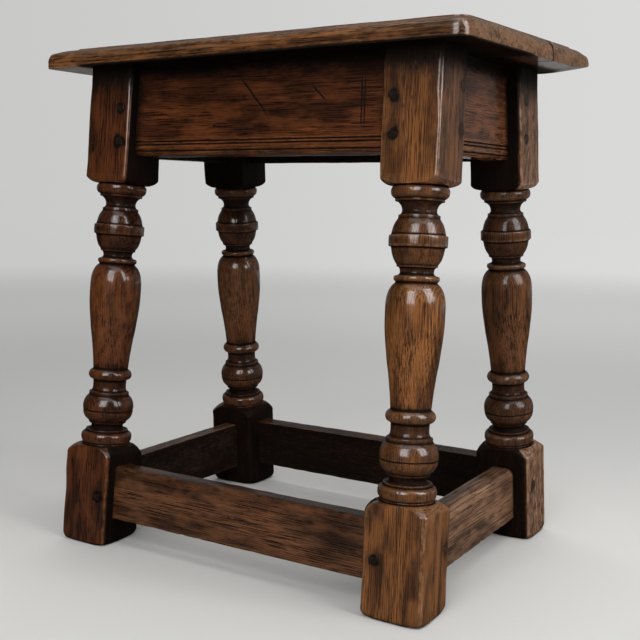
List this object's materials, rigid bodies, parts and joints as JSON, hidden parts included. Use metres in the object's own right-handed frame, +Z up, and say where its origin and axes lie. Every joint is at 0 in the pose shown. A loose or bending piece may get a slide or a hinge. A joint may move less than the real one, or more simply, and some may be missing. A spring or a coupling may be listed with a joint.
{
  "type": "joint stool",
  "caption": "Low oak joint stool: turned splayed legs with square blocks, tenoned and pegged aprons and stretchers, and a boarded seat with a moulded edge.",
  "frame": {"origin": "on the floor under the middle of the stool, midway between the feet", "axes": "+Z up, X along the seat with +X to the right, Y across it with the front at -Y"},
  "size_m": [0.4835, 0.3116, 0.5039],
  "materials": {
    "seat_oak": "waxed",
    "leg_oak": "waxed",
    "rail_oak": "waxed",
    "peg_oak": "waxed"
  },
  "bodies": {
    "root": {"seat_board_front": "seat_oak", "seat_board_rear": "seat_oak", "seat_pegs": "peg_oak", "leg_front_left": "leg_oak", "leg_front_right": "leg_oak", "leg_rear_left": "leg_oak", "leg_rear_right": "leg_oak", "apron_front": "rail_oak", "apron_rear": "rail_oak", "apron_left": "rail_oak", "apron_right": "rail_oak", "stretcher_front": "rail_oak", "stretcher_rear": "rail_oak", "stretcher_left": "rail_oak", "stretcher_right": "rail_oak", "apron_pegs_front_left": "peg_oak", "apron_pegs_front_right": "peg_oak", "apron_pegs_rear_left": "peg_oak", "apron_pegs_rear_right": "peg_oak", "stretcher_pegs_front_left": "peg_oak", "stretcher_pegs_front_right": "peg_oak", "stretcher_pegs_rear_left": "peg_oak", "stretcher_pegs_rear_right": "peg_oak"}
  },
  "joints": []
}
